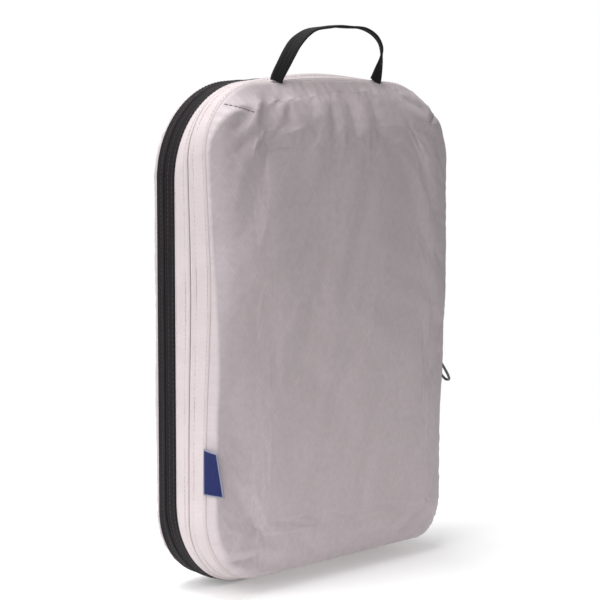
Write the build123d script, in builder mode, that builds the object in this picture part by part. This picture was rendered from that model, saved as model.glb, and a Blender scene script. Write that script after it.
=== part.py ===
"""A soft compression packing cube that stands on its short end.

The cube has three layers from front to back: a front shell, a zip band and a hinged lid.
A light zipper joins the front shell to the band. Unzipped, it frees a pleated gusset and the cube deepens.
A dark zipper joins the lid to the band round three sides, and a fabric hinge joins them along the top.
Millimetres. +Z is up, the front panel faces -Y, and the origin is the middle of the base.
"""

import math
import os

from build123d import *

os.makedirs("parts", exist_ok=True)

# Driving dimensions
WIDTH = 254.0
HEIGHT = 360.0
CORNER_R = 63.0
CLOTH = 1.0  # thickness given to every cloth wall and zipper tape
MID_Z = HEIGHT / 2

# Stations along the depth, from the front to the back
FRONT_FACE_Y = -46.5
FRONT_SEAM_Y = -25.5
COMP_ZIP_Y = -11.0
MIDDLE_SEAM_Y = 3.5
MAIN_ZIP_Y = 14.5
REAR_SEAM_Y = 25.5
BACK_FACE_Y = 45.0
SHOULDER_R = 19.0

# Zippers
ZIP_GAP = 0.7  # slot between the two halves of a zipper, where the slider's post runs
HALF_GAP = ZIP_GAP / 2
COIL_WIDTH = 2.6
COIL_DEPTH = 1.8
COIL_CLEAR = 0.05
STOP_LENGTH = 4.5
COMP_END_Z = 167.0  # the two ends of the light zipper meet here, on the right wall
COMP_END_GAP = 12.0
HINGE_HALF = 50.0  # half the length of the fabric hinge on the top

# Seam bindings and gusset
BINDING_REACH = 9.0
BINDING_THICK = 1.6
CLEAR = 0.1
PLEAT_DEPTH = 26.0  # the pleat's two legs are as long as the cube grows plus the gap between seams
PLEAT_ROOT = 1.3

# Sliders and their wire pulls
SLIDER_LENGTH = 12.0
SLIDER_WIDTH = 9.0
PLATE_THICK = 1.2
PLATE_CLEAR = 0.35
POST_THICK = 0.45
BAIL_WIDTH = 2.2
BAIL_HEIGHT = 4.1
WIRE_R = 0.9
PULL_LENGTH = 40.0
PULL_WIDTH = 9.0
COMP_SLIDER_Z = 155.5
MAIN_UPPER_Z = 224.0
MAIN_LOWER_Z = 170.0
COMP_PULL_TILT = 39.0

# Handle
STRAP_WIDTH = 10.0
STRAP_THICK = 1.6
ANCHOR_HEIGHT = 0.4
HANDLE_ROOT_Z = HEIGHT + 2.0
HANDLE_ARCH = [  # X, height above the root, and twist in degrees along the strap
    (-54.0, 0.0, -6),
    (-47.8, 8.5, -26),
    (-43.0, 17.5, -42),
    (-36.3, 25.5, -58),
    (-28.4, 30.6, -75),
    (-16.7, 34.4, -88),
    (0.0, 36.2, -90),
    (16.0, 36.0, -90),
    (32.6, 34.2, -85),
    (46.3, 30.0, -72),
    (53.6, 23.9, -56),
    (55.9, 17.5, -45),
    (55.0, 9.5, -24),
    (50.9, 0.0, 5),
]

# Side label
LABEL_HEIGHT = 32.0
LABEL_WIDTH = 14.5
LABEL_Z = 92.0
LABEL_FLARE = 8.0
LABEL_THICK = 0.8


def save(part, name):
    """Labels one finished piece and writes it."""
    part.label = name
    export_step(part, f"parts/{name}.step")


def band(front_y, rear_y, outer=0.0, inner=CLOTH):
    """Adds a closed band round the cube between two depths, from inset outer to inset inner."""
    with BuildSketch(Plane.XZ.offset(-rear_y)) as ring:
        with Locations((0, MID_Z)):
            RectangleRounded(WIDTH - 2 * outer, HEIGHT - 2 * outer, CORNER_R - outer)
            RectangleRounded(WIDTH - 2 * inner, HEIGHT - 2 * inner, CORNER_R - inner, mode=Mode.SUBTRACT)
    extrude(ring.sketch, amount=rear_y - front_y)


def cut_top(front_y, rear_y, half_length):
    """Cuts the top of a band away between two X values, for the fabric hinge."""
    with Locations((0, (front_y + rear_y) / 2, HEIGHT)):
        Box(2 * half_length, 2 * (rear_y - front_y), 4 * BINDING_REACH, mode=Mode.SUBTRACT)


def cut_right(z, length):
    """Cuts a band away on the right wall over a length in Z."""
    with Locations((WIDTH / 2, 0, z)):
        Box(4 * BINDING_REACH, WIDTH, length, mode=Mode.SUBTRACT)


def coil_span(zip_y, side):
    """Front and rear Y of the coil on one half of a zipper. side is -1 before the zip line, 1 behind it."""
    near = zip_y + side * HALF_GAP
    far = near + side * COIL_WIDTH
    return min(near, far), max(near, far)


def coil_band(zip_y, side):
    """Adds the coil that runs along the inner face of a tape's edge."""
    front, rear = coil_span(zip_y, side)
    inset = CLOTH + COIL_CLEAR
    band(front, rear, inset, inset + COIL_DEPTH)


def dished_panel(seam_y, face_y):
    """Adds a panel with walls: flat face, rounded shoulder, open towards the seam."""
    depth = abs(face_y - seam_y)
    plane = Plane.XZ.offset(-seam_y)
    outward = 1 if face_y < seam_y else -1
    with BuildSketch(plane) as outline:
        with Locations((0, MID_Z)):
            RectangleRounded(WIDTH, HEIGHT, CORNER_R)
    extrude(outline.sketch, amount=depth * outward)
    faces_in_depth = faces().filter_by(Axis.Y).sort_by(Axis.Y)
    face = faces_in_depth[0] if outward > 0 else faces_in_depth[-1]
    fillet(face.edges(), SHOULDER_R)
    faces_in_depth = faces().filter_by(Axis.Y).sort_by(Axis.Y)
    mouth = faces_in_depth[-1] if outward > 0 else faces_in_depth[0]
    offset(amount=-CLOTH, openings=mouth)


# ---------------------------------------------------------------- front shell

with BuildPart() as front_panel:
    dished_panel(FRONT_SEAM_Y, FRONT_FACE_Y)
save(front_panel.part, "front_panel")

with BuildPart() as front_binding:
    binding_rear = FRONT_SEAM_Y - CLEAR
    band(binding_rear - BINDING_THICK, binding_rear, CLOTH + CLEAR, BINDING_REACH)
save(front_binding.part, "front_binding")

with BuildPart() as compression_zip_front_tape:
    band(FRONT_SEAM_Y, COMP_ZIP_Y - HALF_GAP)
save(compression_zip_front_tape.part, "compression_zip_front_tape")

with BuildPart() as compression_zip_front_coil:
    coil_band(COMP_ZIP_Y, -1)
    cut_right(COMP_END_Z, COMP_END_GAP)
save(compression_zip_front_coil.part, "compression_zip_front_coil")


def zip_stops_right(zip_y, side):
    """Adds the two crimped stops that close the ends of a coil on the right wall."""
    front, rear = coil_span(zip_y, side)
    x = WIDTH / 2 - CLOTH - COIL_CLEAR - COIL_DEPTH / 2
    step = COMP_END_GAP / 4
    with Locations(*[(x, (front + rear) / 2, COMP_END_Z + s * step) for s in (-1, 1)]):
        Box(COIL_DEPTH, COIL_WIDTH, STOP_LENGTH)


def zip_stops_top(zip_y, side):
    """Adds the two crimped stops that close the ends of a coil beside the fabric hinge."""
    front, rear = coil_span(zip_y, side)
    z = HEIGHT - CLOTH - COIL_CLEAR - COIL_DEPTH / 2
    x = HINGE_HALF + 1.0 + STOP_LENGTH / 2
    with Locations(*[(s * x, (front + rear) / 2, z) for s in (-1, 1)]):
        Box(STOP_LENGTH, COIL_WIDTH, COIL_DEPTH)


with BuildPart() as compression_zip_front_stops:
    zip_stops_right(COMP_ZIP_Y, -1)
save(compression_zip_front_stops.part, "compression_zip_front_stops")

with BuildPart() as side_label:
    label_root = Plane(origin=(-WIDTH / 2 - LABEL_THICK / 2, FRONT_SEAM_Y, LABEL_Z), z_dir=(0, 0, 1))
    with BuildSketch(label_root.rotated((0, 0, -LABEL_FLARE)).offset(-LABEL_HEIGHT / 2)):
        with Locations((0, -LABEL_WIDTH / 2)):
            Rectangle(LABEL_THICK, LABEL_WIDTH)
    extrude(amount=LABEL_HEIGHT)
save(side_label.part, "side_label")

with BuildPart() as handle_anchors:
    with Locations(*[(HANDLE_ARCH[end][0], FRONT_SEAM_Y, HEIGHT + ANCHOR_HEIGHT / 2) for end in (0, -1)]):
        Box(STRAP_WIDTH, STRAP_THICK, ANCHOR_HEIGHT)
save(handle_anchors.part, "handle_anchors")

# ------------------------------------------------------------------- zip band

with BuildPart() as compression_zip_rear_tape:
    band(COMP_ZIP_Y + HALF_GAP, MIDDLE_SEAM_Y)
save(compression_zip_rear_tape.part, "compression_zip_rear_tape")

with BuildPart() as compression_zip_rear_coil:
    coil_band(COMP_ZIP_Y, 1)
    cut_right(COMP_END_Z, COMP_END_GAP)
save(compression_zip_rear_coil.part, "compression_zip_rear_coil")

with BuildPart() as compression_zip_rear_stops:
    zip_stops_right(COMP_ZIP_Y, 1)
save(compression_zip_rear_stops.part, "compression_zip_rear_stops")


def pleat_half(root_y, apex_y):
    """Adds one leg of the folded gusset, from a seam down to the apex of the pleat."""
    sections = []
    for y, outer in ((root_y, PLEAT_ROOT), (apex_y, PLEAT_DEPTH)):
        with BuildSketch(Plane.XZ.offset(-y)) as section:
            with Locations((0, MID_Z)):
                RectangleRounded(WIDTH - 2 * outer, HEIGHT - 2 * outer, CORNER_R - outer)
        sections.append(section.sketch)
    loft(sections=sections, ruled=True)
    inner_sections = []
    for y, outer in ((root_y, PLEAT_ROOT + 1.4 * CLOTH), (apex_y, PLEAT_DEPTH + 1.4 * CLOTH)):
        with BuildSketch(Plane.XZ.offset(-y)) as section:
            with Locations((0, MID_Z)):
                RectangleRounded(WIDTH - 2 * outer, HEIGHT - 2 * outer, CORNER_R - outer)
        inner_sections.append(section.sketch)
    loft(sections=inner_sections, ruled=True, mode=Mode.SUBTRACT)


with BuildPart() as gusset_front_leg:
    pleat_half(FRONT_SEAM_Y + CLEAR, COMP_ZIP_Y)
with BuildPart() as gusset_rear_leg:
    pleat_half(MIDDLE_SEAM_Y - CLEAR, COMP_ZIP_Y)
with BuildPart() as expansion_gusset:
    add(gusset_front_leg.part)
    add(gusset_rear_leg.part)
save(expansion_gusset.part, "expansion_gusset")

with BuildPart() as middle_binding:
    binding_front = MIDDLE_SEAM_Y + CLEAR
    band(binding_front, binding_front + BINDING_THICK, CLOTH + CLEAR, BINDING_REACH)
save(middle_binding.part, "middle_binding")

with BuildPart() as main_zip_front_tape:
    band(MIDDLE_SEAM_Y, MAIN_ZIP_Y - HALF_GAP)
    cut_top(MIDDLE_SEAM_Y, MAIN_ZIP_Y, HINGE_HALF)
save(main_zip_front_tape.part, "main_zip_front_tape")

with BuildPart() as main_zip_front_coil:
    coil_band(MAIN_ZIP_Y, -1)
    cut_top(MIDDLE_SEAM_Y, MAIN_ZIP_Y, HINGE_HALF + STOP_LENGTH + 2.0)
save(main_zip_front_coil.part, "main_zip_front_coil")

with BuildPart() as main_zip_front_stops:
    zip_stops_top(MAIN_ZIP_Y, -1)
save(main_zip_front_stops.part, "main_zip_front_stops")


def hinge_cloth(front_y, rear_y):
    """Adds one half of the cloth hinge that fills the gap in the dark tapes."""
    with Locations((0, (front_y + rear_y) / 2, HEIGHT - CLOTH / 2)):
        Box(2 * HINGE_HALF, rear_y - front_y, CLOTH)


with BuildPart() as hinge_strip:
    hinge_cloth(MIDDLE_SEAM_Y, MAIN_ZIP_Y - HALF_GAP)
save(hinge_strip.part, "hinge_strip")

# ------------------------------------------------------------------------ lid

with BuildPart() as back_panel:
    dished_panel(REAR_SEAM_Y, BACK_FACE_Y)
save(back_panel.part, "back_panel")

with BuildPart() as rear_binding:
    binding_front = REAR_SEAM_Y + CLEAR
    band(binding_front, binding_front + BINDING_THICK, CLOTH + CLEAR, BINDING_REACH)
save(rear_binding.part, "rear_binding")

with BuildPart() as main_zip_rear_tape:
    band(MAIN_ZIP_Y + HALF_GAP, REAR_SEAM_Y)
    cut_top(MAIN_ZIP_Y, REAR_SEAM_Y, HINGE_HALF)
save(main_zip_rear_tape.part, "main_zip_rear_tape")

with BuildPart() as main_zip_rear_coil:
    coil_band(MAIN_ZIP_Y, 1)
    cut_top(MAIN_ZIP_Y, REAR_SEAM_Y, HINGE_HALF + STOP_LENGTH + 2.0)
save(main_zip_rear_coil.part, "main_zip_rear_coil")

with BuildPart() as main_zip_rear_stops:
    zip_stops_top(MAIN_ZIP_Y, 1)
save(main_zip_rear_stops.part, "main_zip_rear_stops")

with BuildPart() as hinge_flap:
    hinge_cloth(MAIN_ZIP_Y + HALF_GAP, REAR_SEAM_Y)
save(hinge_flap.part, "hinge_flap")

# --------------------------------------------------------------------- handle


def strap_sections():
    """Planes along the arch. The strap lies flat to the front at its feet and on edge to it at the top."""
    points = [Vector(x, FRONT_SEAM_Y, HANDLE_ROOT_Z + rise) for x, rise, _ in HANDLE_ARCH]
    last = len(points) - 1
    planes = []
    for i, (_, _, twist) in enumerate(HANDLE_ARCH):
        if i in (0, last):
            tangent = Vector(0, 0, 1 if i == 0 else -1)
        else:
            tangent = (points[i + 1] - points[i - 1]).normalized()
        across = Vector(tangent.Z, 0, -tangent.X)
        turn = math.radians(twist)
        side = across * math.cos(turn) + Vector(0, 1, 0) * math.sin(turn)
        planes.append(Plane(origin=points[i], x_dir=side, z_dir=tangent))
    return planes


with BuildPart() as handle_strap:
    for strap_plane in strap_sections():
        with BuildSketch(strap_plane):
            Rectangle(STRAP_WIDTH, STRAP_THICK)
    loft(ruled=True)
save(handle_strap.part, "handle_strap")

# -------------------------------------------------------------------- sliders

WALL_X = WIDTH / 2
PLATE_X = WALL_X + PLATE_CLEAR
PIVOT_X = PLATE_X + PLATE_THICK + BAIL_HEIGHT - 2.2


def slider(zip_y, z, nose):
    """Adds a slider on the right wall: outer plate, post, inner plate and bail. nose is 1 up, -1 down."""
    inner_x = WALL_X - CLOTH - COIL_CLEAR - COIL_DEPTH - PLATE_CLEAR
    outline = Plane(origin=(PLATE_X, zip_y, z), x_dir=(0, 1, 0), z_dir=(1, 0, 0))
    for start, thick in ((0, PLATE_THICK), (inner_x - PLATE_X, -PLATE_THICK)):
        with BuildSketch(outline.offset(start)) as plate:
            tail, shoulder = -nose * SLIDER_LENGTH / 2, nose * SLIDER_LENGTH / 2
            with BuildLine():
                Polyline(
                    (-0.36 * SLIDER_WIDTH, tail),
                    (0.36 * SLIDER_WIDTH, tail),
                    (0.5 * SLIDER_WIDTH, 0.1 * shoulder),
                    (0.42 * SLIDER_WIDTH, shoulder),
                    (-0.42 * SLIDER_WIDTH, shoulder),
                    (-0.5 * SLIDER_WIDTH, 0.1 * shoulder),
                    close=True,
                )
            make_face()
            fillet(plate.vertices(), 0.9)
        extrude(plate.sketch, amount=thick)
    with Locations(((PLATE_X + inner_x) / 2, zip_y, z)):
        with Locations((0, 0, nose * 2.6)):
            Box(PLATE_X - inner_x, POST_THICK, 4.2)
    side_view = Plane(origin=(PLATE_X + PLATE_THICK, zip_y, z), x_dir=(0, 0, 1), z_dir=(0, 1, 0))
    with BuildSketch(side_view) as bail:
        with BuildLine():
            Polyline((-4.6, 0), (-3.4, BAIL_HEIGHT), (3.4, BAIL_HEIGHT), (4.6, 0), close=True)
        make_face()
        with Locations((0, BAIL_HEIGHT / 2 - 0.5)):
            Rectangle(5.2, BAIL_HEIGHT - 1.0, mode=Mode.SUBTRACT)
    extrude(bail.sketch, amount=BAIL_WIDTH / 2, both=True)


def wire_pull(zip_y, z, tilt):
    """Adds a closed wire loop that hangs from a slider's bail, tilted out from the wall by tilt degrees."""
    lean = math.radians(tilt)
    down = Vector(math.sin(lean), 0, -math.cos(lean))
    pivot = Vector(PIVOT_X, zip_y, z)
    run = PULL_LENGTH - 2 * WIRE_R
    across = PULL_WIDTH - 2 * WIRE_R
    loop = Plane(origin=pivot + down * (run / 2), x_dir=(0, 1, 0), z_dir=Vector(0, 1, 0).cross(down))
    with BuildSketch(loop) as outline:
        RectangleRounded(across, run, 2.4)
    path = outline.sketch.face().outer_wire()
    with BuildSketch(Plane(origin=path @ 0, z_dir=path % 0)) as wire:
        Circle(WIRE_R)
    sweep(wire.sketch, path=path)


with BuildPart() as compression_slider:
    slider(COMP_ZIP_Y, COMP_SLIDER_Z, 1)
save(compression_slider.part, "compression_slider")

with BuildPart() as compression_pull:
    wire_pull(COMP_ZIP_Y, COMP_SLIDER_Z, COMP_PULL_TILT)
save(compression_pull.part, "compression_pull")

with BuildPart() as main_slider_upper:
    slider(MAIN_ZIP_Y, MAIN_UPPER_Z, 1)
save(main_slider_upper.part, "main_slider_upper")

with BuildPart() as main_pull_upper:
    wire_pull(MAIN_ZIP_Y, MAIN_UPPER_Z, 0)
save(main_pull_upper.part, "main_pull_upper")

with BuildPart() as main_slider_lower:
    slider(MAIN_ZIP_Y, MAIN_LOWER_Z, -1)
save(main_slider_lower.part, "main_slider_lower")

with BuildPart() as main_pull_lower:
    wire_pull(MAIN_ZIP_Y, MAIN_LOWER_Z, 0)
save(main_pull_lower.part, "main_pull_lower")
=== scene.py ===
"""Looks for the packing cube: cloth panels, zipper tapes, stitching, webbing and metal."""

import math

import bmesh
import bpy
import numpy as np
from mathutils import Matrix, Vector


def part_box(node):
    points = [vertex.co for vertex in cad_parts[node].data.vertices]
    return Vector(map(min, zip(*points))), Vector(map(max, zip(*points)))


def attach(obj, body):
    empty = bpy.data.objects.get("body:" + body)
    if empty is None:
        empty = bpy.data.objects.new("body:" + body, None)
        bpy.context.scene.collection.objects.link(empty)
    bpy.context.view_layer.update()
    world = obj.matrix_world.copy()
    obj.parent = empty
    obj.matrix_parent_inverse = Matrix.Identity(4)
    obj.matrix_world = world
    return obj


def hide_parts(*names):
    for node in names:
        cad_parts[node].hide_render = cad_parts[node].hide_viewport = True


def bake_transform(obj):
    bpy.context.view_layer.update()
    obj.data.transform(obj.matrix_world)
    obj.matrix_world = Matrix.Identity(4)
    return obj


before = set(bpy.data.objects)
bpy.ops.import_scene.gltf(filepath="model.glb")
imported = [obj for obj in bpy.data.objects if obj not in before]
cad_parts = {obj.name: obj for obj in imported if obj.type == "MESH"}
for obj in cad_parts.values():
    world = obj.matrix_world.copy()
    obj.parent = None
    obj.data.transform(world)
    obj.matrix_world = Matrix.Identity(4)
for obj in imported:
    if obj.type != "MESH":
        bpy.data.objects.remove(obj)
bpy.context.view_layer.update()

MM = 0.001
TAU = 2 * math.pi
SINES = 14  # in each patch of noise over a plane


# ---------------- stations from the frame
def span_y(node):
    low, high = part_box(node)
    return low.y, high.y


FRONT_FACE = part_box("front_panel")[0].y
SEAM_F, COMP_F = span_y("compression_zip_front_tape")
COMP_R, SEAM_M = span_y("compression_zip_rear_tape")
MAIN_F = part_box("main_zip_front_tape")[1].y
MAIN_R, SEAM_R = span_y("main_zip_rear_tape")
HALF_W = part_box("front_panel")[1].x
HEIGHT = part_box("front_panel")[1].z
COMP_Y = (COMP_F + COMP_R) / 2
MAIN_Y = (MAIN_F + MAIN_R) / 2
HINGE_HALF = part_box("hinge_strip")[1].x


# ---------------- numeric helpers
def smooth(a, b, x):
    t = np.clip((np.asarray(x, float) - a) / (b - a), 0, 1)
    return t * t * (3 - 2 * t)


def bump(x, centre, width):
    return np.exp(-(((np.asarray(x, float) - centre) / width) ** 2))


def wave_noise(u, seed, wavelengths, loop=None):
    """Sum of sines with fixed random phases. With loop, each wave closes after that length."""
    rng = np.random.default_rng(seed)
    total = np.zeros_like(np.asarray(u, float))
    for w in wavelengths:
        w = w * (0.85 + 0.3 * rng.random())
        if loop:
            w = loop / max(1, round(loop / w))
        total += np.sin(TAU * (u / w + rng.random())) * (0.6 + 0.8 * rng.random())
    return total / math.sqrt(len(wavelengths))


def noise2(x, z, seed, scale):
    """Smooth noise over a plane, near -1 to 1, from sines in fixed random directions."""
    rng = np.random.default_rng(seed)
    total = 0
    for _ in range(SINES):
        a, k = TAU * rng.random(), TAU / (scale * (0.6 + 0.9 * rng.random()))
        total = total + np.sin(k * (math.cos(a) * x + math.sin(a) * z) + TAU * rng.random())
    return total / math.sqrt(SINES / 2) / 1.6


def run_length(path):
    """Distance along a line of points to each of them."""
    return np.concatenate([[0], np.cumsum(np.linalg.norm(np.diff(path, axis=0), axis=1))])


def pairs(u, v):
    """UV pairs over a grid with a row for each u and a column for each v."""
    return np.stack(np.broadcast_arrays(u[:, None], v[None]), -1)


# ---------------- the cube's cross-sections
LOW_LEFT, LOW_RIGHT, TOP_RIGHT, TOP_LEFT = range(4)
STATIONS = [SEAM_F, COMP_Y, SEAM_M, MAIN_Y, SEAM_R]
LEFT_IN = [1.0, -1.0, 0.3, 1.5, 4.2]  # how far the left wall stands inside the CAD outline, mm
LIFT = [9.5, 7.3, 0.3, 0.3, 4.5]  # the front hangs clear of the floor, and the zip band stands on it
SINK = [2.5, 4.5, 4.5, 3.5, 3.0]  # how far the top corners sit below the CAD outline
CROWN = [3.3, 9.4, 8.0, 6.4, 4.5]  # rise of the soft top between its corners
BOW = [5.5, 2.7, 0.0, 0.0, 0.0]  # hollow half way up the left wall
RADII = {  # corner radii at each station, mm
    LOW_LEFT: [50, 50, 66, 64, 52],
    LOW_RIGHT: [32, 46, 62, 62, 54],
    TOP_RIGHT: [60, 62, 66, 66, 66],
    TOP_LEFT: [50, 53, 66, 66, 66],
}
CORNER_SIDES = [(-1, -1), (1, -1), (1, 1), (-1, 1)]  # which way each corner lies in X and Z
CROWN_WIDTH = 70 * MM
BOW_Z, BOW_HEIGHT = 0.60 * HEIGHT, 75 * MM


def at_station(values, y):
    return np.interp(y, STATIONS, values) * MM


class Outline:
    """Samples round the cube from the middle of the lower left corner: bottom, right, top, then left.

    across and upward count the cells along the bottom and up a side, and corner those in half a corner.
    """

    def __init__(self, across, upward, corner):
        self.across, self.upward, self.corner = across, upward, corner
        self.spots, self.normals = self.points(MAIN_Y)
        step = np.linalg.norm(np.diff(np.vstack([self.spots, self.spots[:1]]), axis=0), axis=1)
        self.run = np.concatenate([[0], np.cumsum(step)[:-1]])
        self.length = step.sum()

    def points(self, y):
        """Points and outward normals in X and Z at depth y, before the cloth relaxes."""
        left, right = -HALF_W + at_station(LEFT_IN, y), HALF_W
        low, high = at_station(LIFT, y), HEIGHT - at_station(SINK, y)
        corners = []
        for corner, (sx, sz) in enumerate(CORNER_SIDES):
            r = at_station(RADII[corner], y)
            corners.append(((right - r if sx > 0 else left + r), (high - r if sz > 0 else low + r), r))
        half = np.linspace(0, math.pi / 4, self.corner + 1)[:-1]
        p, n = [], []
        for side, cells in enumerate((self.across, self.upward, self.across, self.upward)):
            (x0, z0, r0), (x1, z1, r1) = corners[side], corners[(side + 1) % 4]
            middle = math.radians(225 + 90 * side)
            square = middle + math.pi / 4
            t = np.linspace(0, 1, cells - 2 * self.corner + 1)[:-1, None]
            before, straight, after = (
                np.stack([np.cos(angle), np.sin(angle)], 1)
                for angle in (middle + half, np.full(len(t), square), square + half)
            )
            n += [before, straight, after]
            p.append(np.array([x0, z0]) + r0 * before)
            p.append((1 - t) * ([x0, z0] + r0 * straight) + t * ([x1, z1] + r1 * straight))
            p.append(np.array([x1, z1]) + r1 * after)
        return np.concatenate(p), np.concatenate(n)


def relax(points):
    """Raises the soft top between its corners and hollows the left wall."""
    x, y, z = points[..., 0], points[..., 1], points[..., 2]
    upper = smooth(0.5 * HEIGHT, 0.83 * HEIGHT, z)
    leftward = smooth(-0.5 * HALF_W, -0.9 * HALF_W, x)
    crown = at_station(CROWN, y) * np.exp(-((x / CROWN_WIDTH) ** 2)) * upper
    bow = at_station(BOW, y) * np.exp(-(((z - BOW_Z) / BOW_HEIGHT) ** 2)) * leftward
    out = points.copy()
    out[..., 0] += bow
    out[..., 2] += crown
    return out


def place(line, ys, out):
    """World points round the cube, a column for each depth in ys, moved outward by out."""
    out = np.broadcast_to(np.asarray(out, float), (len(line.run), len(ys)))
    columns = []
    for c, y in enumerate(ys):
        p, n = line.points(y)
        q = p + n * out[:, c : c + 1]
        columns.append(np.stack([q[:, 0], np.full(len(q), y), q[:, 1]], 1))
    return relax(np.stack(columns, 1))


FINE = Outline(112, 158, 19)
TOOTHED = Outline(250, 350, 44)  # one sample a millimetre, for zipper teeth


# ---------------- mesh helpers
def new_object(name, verts, faces, uvs=None, material=None):
    """A smooth-shaded mesh. uvs is a pair for each vertex, or a function of the loops' vertex numbers."""
    mesh = bpy.data.meshes.new(name)
    mesh.from_pydata([tuple(v) for v in np.asarray(verts).reshape(-1, 3)], [], [tuple(f) for f in faces])
    if uvs is not None:
        layer = mesh.uv_layers.new(name="UVMap")
        index = np.zeros(len(mesh.loops), np.int32)
        mesh.loops.foreach_get("vertex_index", index)
        flat = uvs(index) if callable(uvs) else np.asarray(uvs).reshape(-1, 2)[index]
        layer.data.foreach_set("uv", flat.astype(np.float32).ravel())
    mesh.polygons.foreach_set("use_smooth", [True] * len(mesh.polygons))
    obj = bpy.data.objects.new(name, mesh)
    bpy.context.scene.collection.objects.link(obj)
    if material:
        mesh.materials.append(material)
    return obj


def face_outward(obj):
    """Turns a closed mesh's faces to point outward."""
    bm = bmesh.new()
    bm.from_mesh(obj.data)
    bmesh.ops.recalc_face_normals(bm, faces=bm.faces)
    bm.to_mesh(obj.data)
    bm.free()
    return obj


def belongs(obj, body, node=None):
    """Rides obj on a body, and hides the CAD node it stands for."""
    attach(obj, body)
    if node:
        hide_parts(node)


def grid_faces(rows, cols, wrap_rows, wrap_cols):
    r = np.arange(rows if wrap_rows else rows - 1)
    c = np.arange(cols if wrap_cols else cols - 1)
    r, c = np.meshgrid(r, c, indexing="ij")
    r1, c1 = (r + 1) % rows, (c + 1) % cols
    return np.stack([r * cols + c, r1 * cols + c, r1 * cols + c1, r * cols + c1], -1).reshape(-1, 4)


def tube(name, points, uv, material, closed=True):
    """A closed tube of cloth or cord: points is (rows, section, 3). Open tubes get end caps."""
    rows, cols = points.shape[:2]
    faces = [list(f) for f in grid_faces(rows, cols, closed, True)]
    if not closed:
        faces.append(list(range(cols))[::-1])
        faces.append(list(range((rows - 1) * cols, rows * cols)))
    period = 2 * uv[-1, 0, 0] - uv[-2, 0, 0]

    def seam_safe(index):
        flat = uv.reshape(-1, 2)[index].astype(float)
        quads = grid_faces(rows, cols, closed, True).shape[0] * 4
        if closed:
            quad = flat[:quads].reshape(-1, 4, 2)
            far = quad[:, :, 0].max(1) - quad[:, :, 0].min(1) > period / 2
            quad[:, :, 0] += np.where(far[:, None] & (quad[:, :, 0] < period / 2), period, 0)
        return flat

    return face_outward(new_object(name, points, faces, seam_safe, material))


def part_of_loop(points, uv, keep, line):
    """The kept samples of a band round the cube, with a texture that runs on past the line's start."""
    points, uv = points[keep], uv[keep].copy()
    uv[:, :, 0] += np.where(uv[:, :, 0] < uv[0, 0, 0] - 1e-9, line.length, 0)
    return points, uv


def strip(name, line, ys, out, thick, material, keep=None):
    """A band of cloth round the cube. ys is its depths, and out how far its skin stands out there."""
    outer = place(line, ys, out)
    inner = place(line, ys, out - thick)
    points = np.concatenate([outer, inner[:, ::-1]], 1)
    across = run_length(outer[0])
    uv = pairs(line.run, np.concatenate([across, across[::-1]]))
    if keep is not None:
        points, uv = part_of_loop(points, uv, keep, line)
    return tube(name, points, uv, material, closed=keep is None)


def on_hinge(line):
    return (line.normals[:, 1] > 0.99) & (np.abs(line.spots[:, 0]) < HINGE_HALF)


def round_to_hinge(line):
    """Samples in order round the cube from the left end of the hinge to its right end."""
    index = np.arange(len(line.run))
    hinge = index[on_hinge(line)]
    return np.concatenate([index[hinge.max() + 1 :], index[: hinge.min()]])


# ---------------- stitches
STITCH_SPOTS = np.array([0.10, 0.22, 0.66, 0.78])  # along a stitch: it comes up, bows, and goes in again
STITCH_RISE = np.array([-0.9, 0.55, 0.55, -0.9])  # height of those spots, in thread radii


def stitch_row(name, path, normal, material, stitch=2.3 * MM, gap=0.9 * MM, radius=0.2 * MM, closed=True):
    """Lockstitch thread along a path: one small bowed bead of thread for each stitch."""
    if closed:
        path, normal = np.vstack([path, path[:1]]), np.vstack([normal, normal[:1]])
    run = run_length(path)
    count = max(2, int(run[-1] / (stitch + gap)))
    pitch = run[-1] / count
    where = (np.arange(count)[:, None] + STITCH_SPOTS[None] * stitch / (0.68 * (stitch + gap))) * pitch
    spot = np.stack([np.interp(where, run, path[:, i]) for i in range(3)], -1)
    up = np.stack([np.interp(where, run, normal[:, i]) for i in range(3)], -1)
    up /= np.linalg.norm(up, axis=-1, keepdims=True)
    along = spot[:, -1:] - spot[:, :1]
    along = along / np.linalg.norm(along, axis=-1, keepdims=True)
    side = np.cross(along, up)
    rise = STITCH_RISE[None, :, None, None] * radius
    angle = np.radians([45, 135, 225, 315])[None, None, :, None]
    ring = np.cos(angle) * side[:, :, None] + np.sin(angle) * up[:, :, None]
    points = spot[:, :, None] + up[:, :, None] * rise + ring * radius
    one = grid_faces(4, 4, False, True)
    one = np.vstack([one, [[3, 2, 1, 0]], [[12, 13, 14, 15]]])
    faces = (np.arange(count)[:, None, None] * 16 + one[None]).reshape(-1, 4)
    return face_outward(new_object(name, points, faces, None, material))


def line_path(line, y, out):
    """One line round the cube at depth y, with its outward normals."""
    path = place(line, [y], np.full((1, 1), out))[:, 0]
    normal = np.stack([line.normals[:, 0], np.zeros(len(path)), line.normals[:, 1]], 1)
    return path, normal


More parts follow.
